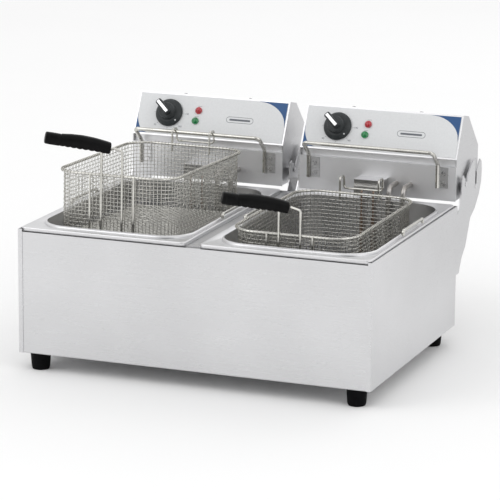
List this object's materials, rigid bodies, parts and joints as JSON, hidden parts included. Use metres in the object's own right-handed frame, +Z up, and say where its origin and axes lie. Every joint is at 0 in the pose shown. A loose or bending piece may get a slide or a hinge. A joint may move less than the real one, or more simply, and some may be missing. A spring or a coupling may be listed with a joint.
{
  "type": "deep fryer",
  "caption": "Countertop electric deep fryer with side-by-side tanks, tilting control heads with immersion heaters, and wire baskets that hang or lower.",
  "frame": {"origin": "under the middle of the whole object's footprint, at the level of the feet's undersides", "axes": "+Z up, -Y towards the user (the baskets' handles), +X to the user's right"},
  "size_m": [0.58, 0.5878, 0.3802],
  "materials": {
    "brushed_casing": "satin brushed",
    "plain_sheet": "mill",
    "foot_rubber": "matt",
    "bright_fasteners": "bright",
    "pressed_tank": "satin pressed",
    "bright_wire": "bright drawn wire",
    "head_steel": "fine brushed",
    "polished_plate": "polished",
    "printed_panel": "printed film",
    "heater_tube": "heat tinted",
    "probe_copper": "nickel over copper",
    "control_ceramic": "matt",
    "reset_red": "gloss",
    "knob_black": "fine textured",
    "insert_silver": "satin",
    "lens_red": "clear tinted",
    "lens_green": "clear tinted",
    "gland_black": "moulded",
    "basket_wire": "bright woven wire",
    "grip_black": "moulded"
  },
  "bodies": {
    "casing": {"casing_shell": "brushed_casing", "front_panel": "brushed_casing", "bottom_plate": "plain_sheet", "top_deck": "plain_sheet", "feet": "foot_rubber", "case_screws": "bright_fasteners", "left_tank": "pressed_tank", "right_tank": "pressed_tank", "tank_handles": "bright_wire", "left_bracket": "brushed_casing", "centre_bracket": "brushed_casing", "right_bracket": "brushed_casing"},
    "left_head": {"left_head_shell": "head_steel", "left_head_base": "plain_sheet", "left_front_plate": "polished_plate", "left_control_panel": "printed_panel", "left_hinge_pins": "bright_fasteners", "left_hanger_bar": "bright_wire", "left_hanger_brackets": "brushed_casing", "left_hanger_rivets": "bright_fasteners", "left_heater": "heater_tube", "left_heater_guard": "polished_plate", "left_probes": "probe_copper", "left_thermostat": "control_ceramic", "left_limiter": "control_ceramic", "left_red_lamp": "lens_red", "left_green_lamp": "lens_green", "left_terminal_block": "control_ceramic", "left_cable_gland": "gland_black", "left_head_screws": "bright_fasteners"},
    "left_knob": {"left_knob": "knob_black", "left_knob_insert": "insert_silver"},
    "left_reset_button": {"left_reset_button": "reset_red"},
    "left_basket": {"left_basket_mesh": "basket_wire", "left_basket_frame": "bright_wire", "left_basket_grip": "grip_black"},
    "right_head": {"right_head_shell": "head_steel", "right_head_base": "plain_sheet", "right_front_plate": "polished_plate", "right_control_panel": "printed_panel", "right_hinge_pins": "bright_fasteners", "right_hanger_bar": "bright_wire", "right_hanger_brackets": "brushed_casing", "right_hanger_rivets": "bright_fasteners", "right_heater": "heater_tube", "right_heater_guard": "polished_plate", "right_probes": "probe_copper", "right_thermostat": "control_ceramic", "right_limiter": "control_ceramic", "right_red_lamp": "lens_red", "right_green_lamp": "lens_green", "right_terminal_block": "control_ceramic", "right_cable_gland": "gland_black", "right_head_screws": "bright_fasteners"},
    "right_knob": {"right_knob": "knob_black", "right_knob_insert": "insert_silver"},
    "right_reset_button": {"right_reset_button": "reset_red"},
    "right_basket": {"right_basket_mesh": "basket_wire", "right_basket_frame": "bright_wire", "right_basket_grip": "grip_black"}
  },
  "joints": [
    {"name": "left_head_tilt", "type": "hinge", "parent": "casing", "child": "left_head", "pos_m": [-0.14925, 0.25031, 0.239], "axis": [-1, 0, 0], "range_deg": [0, 80]},
    {"name": "left_knob_turn", "type": "hinge", "parent": "left_head", "child": "left_knob", "pos_m": [-0.22425, 0.17833, 0.33451], "axis": [0, 0.8917, -0.4525], "range_deg": [0, 270]},
    {"name": "left_reset_push", "type": "slide", "parent": "left_head", "child": "left_reset_button", "axis": [0, -1, 0], "range_m": [0, 0.0025], "stiffness_N_per_m": 300},
    {"name": "left_basket_lift", "type": "slide", "parent": "left_head", "child": "left_basket", "axis": [0, 0, 1], "range_m": [0, 0.16]},
    {"name": "right_head_tilt", "type": "hinge", "parent": "casing", "child": "right_head", "pos_m": [0.14925, 0.25031, 0.239], "axis": [-1, 0, 0], "range_deg": [0, 80]},
    {"name": "right_knob_turn", "type": "hinge", "parent": "right_head", "child": "right_knob", "pos_m": [0.07425, 0.17833, 0.33451], "axis": [0, 0.8917, -0.4525], "range_deg": [0, 270]},
    {"name": "right_reset_push", "type": "slide", "parent": "right_head", "child": "right_reset_button", "axis": [0, -1, 0], "range_m": [0, 0.0025], "stiffness_N_per_m": 300},
    {"name": "right_basket_lift", "type": "slide", "parent": "right_head", "child": "right_basket", "axis": [0, 0, 1], "range_m": [0, 0.16]}
  ]
}
